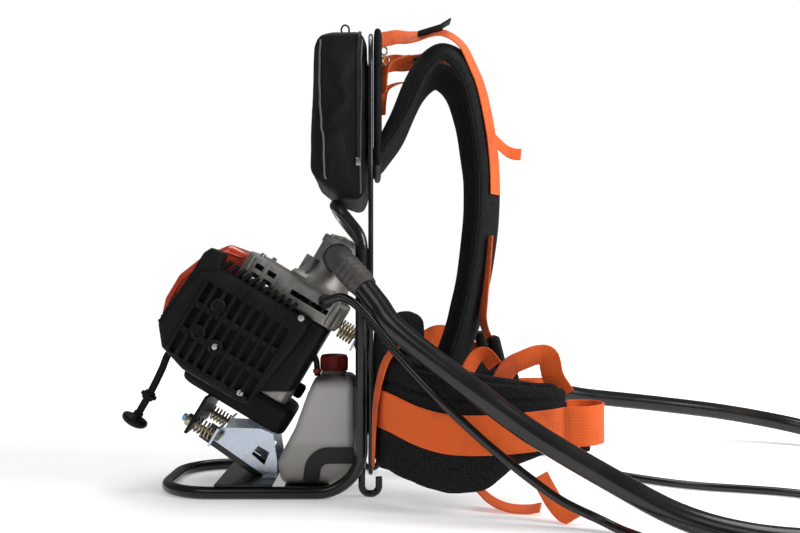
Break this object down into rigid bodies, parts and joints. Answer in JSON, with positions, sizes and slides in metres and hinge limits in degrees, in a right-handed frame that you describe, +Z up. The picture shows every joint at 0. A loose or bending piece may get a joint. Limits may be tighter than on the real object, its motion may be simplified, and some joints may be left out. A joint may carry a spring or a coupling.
{
  "type": "backpack concrete vibrator",
  "caption": "Backpack concrete vibrator: small sprung engine on a tube frame, angle gearbox, flexible shaft to a steel poker, throttle cable, fuel tank, tool bag and padded harness.",
  "frame": {"origin": "on the floor, under the middle of the standing pieces without the shaft, cable and what is on them", "axes": "+Z up, +X the way the wearer faces, +Y to the wearer's left"},
  "size_m": [1.1776, 0.8105, 0.606],
  "materials": {
    "gloss_black_paint": "gloss black enamel",
    "black_plastic": "moulded, satin black",
    "red_plastic": "glossy orange red",
    "cast_aluminium": "die-cast, grey",
    "dark_grey_plastic": "dark grey, smooth",
    "bright_steel": "ground steel",
    "zinc_plate": "galvanised, bluish",
    "yellow_zinc": "yellow zinc plated",
    "translucent_polyethylene": "translucent grey-white",
    "cap_red": "dark red, satin",
    "black_rubber": "smooth black rubber",
    "black_cloth": "black woven nylon over foam"
  },
  "bodies": {
    "frame": {"frame_tube": "gloss_black_paint", "back_hoop": "gloss_black_paint", "rear_foot_near": "gloss_black_paint", "rear_foot_far": "gloss_black_paint", "cross_tube": "gloss_black_paint", "fuel_tank": "translucent_polyethylene", "crankcase": "cast_aluminium", "cylinder": "cast_aluminium", "rocker_cover": "cast_aluminium", "muffler": "bright_steel", "muffler_cover": "black_plastic", "top_cover": "red_plastic", "fan_cover": "cast_aluminium", "recoil_cover": "black_plastic", "air_cleaner": "black_plastic", "carburettor": "cast_aluminium", "spark_plug_cap": "black_rubber", "pinion_bearing": "bright_steel", "output_bearing": "bright_steel", "gearbox_housing": "cast_aluminium", "gearbox_cap": "cast_aluminium", "output_sleeve": "dark_grey_plastic", "upper_mount_plate": "zinc_plate", "engine_foot": "black_plastic", "upper_spring_near": "yellow_zinc", "lower_spring_near": "yellow_zinc", "lower_bolt_near": "yellow_zinc", "mount_bracket_near": "zinc_plate", "cradle_leg_near": "gloss_black_paint", "upper_spring_far": "yellow_zinc", "lower_spring_far": "yellow_zinc", "lower_bolt_far": "yellow_zinc", "mount_bracket_far": "zinc_plate", "cradle_leg_far": "gloss_black_paint", "base_plate": "gloss_black_paint", "tank_tray": "gloss_black_paint", "starter_guide": "black_plastic", "starter_rope": "black_cloth", "starter_collar": "black_plastic", "tool_bag": "black_cloth", "back_pad": "black_cloth", "hip_wing_near": "black_cloth", "hip_wing_far": "black_cloth", "shoulder_strap_near": "black_cloth", "shoulder_strap_far": "black_cloth", "flexible_shaft": "black_rubber", "poker_tube": "bright_steel", "throttle_cable": "black_rubber", "throttle_grip": "black_plastic"},
    "crank": {"crankshaft": "bright_steel", "flywheel_fan": "cast_aluminium", "clutch_shoes": "bright_steel"},
    "drive": {"clutch_drum": "bright_steel"},
    "output": {"output_gear": "bright_steel"},
    "rotor": {"poker_rotor": "bright_steel"},
    "starter": {"starter_handle": "black_plastic"},
    "filler_cap": {"fuel_cap": "cap_red"},
    "oil_filler": {"oil_cap": "black_plastic"},
    "lever": {"throttle_lever": "black_plastic"}
  },
  "joints": [
    {"name": "crank_spin", "type": "hinge", "parent": "frame", "child": "crank", "pos_m": [-0.0142, 0, 0.2801], "axis": [0.5135, 0, 0.8581], "continuous": true},
    {"name": "drum_spin", "type": "hinge", "parent": "frame", "child": "drive", "pos_m": [0.00326, 0, 0.30927], "axis": [0.5135, 0, 0.8581], "continuous": true},
    {"name": "output_spin", "type": "hinge", "parent": "frame", "child": "output", "pos_m": [0.00326, 0, 0.30927], "axis": [0.0599, -0.9976, -0.0358], "continuous": true},
    {"name": "rotor_spin", "type": "hinge", "parent": "frame", "child": "rotor", "pos_m": [0.3555, 0.345, 0.077], "axis": [-0.9637, -0.1549, -0.2175], "continuous": true},
    {"name": "starter_pull", "type": "slide", "parent": "frame", "child": "starter", "axis": [-0.4959, 0, -0.8684], "range_m": [0, 0.09], "stiffness_N_per_m": 8, "springref_m": -0.5, "deforming": ["starter_rope"]},
    {"name": "fuel_cap_turn", "type": "hinge", "parent": "frame", "child": "filler_cap", "pos_m": [-0.0015, 0, 0.17], "axis": [0, 0, 1], "range_deg": [0, 270]},
    {"name": "oil_cap_turn", "type": "hinge", "parent": "frame", "child": "oil_filler", "pos_m": [-0.05562, 0.03, 0.12658], "axis": [0.8581, 0, -0.5135], "range_deg": [0, 270]},
    {"name": "throttle_squeeze", "type": "hinge", "parent": "frame", "child": "lever", "pos_m": [0.32082, 0.21818, 0.0164], "axis": [0, 0, 1], "range_deg": [-14, 0], "stiffness_Nm_per_rad": 0.4, "springref_deg": 28.65}
  ],
  "couplings": [
    {"joint": "output_spin", "follows": "drum_spin", "ratio": 1.25},
    {"joint": "rotor_spin", "follows": "drum_spin", "ratio": 1.25}
  ]
}
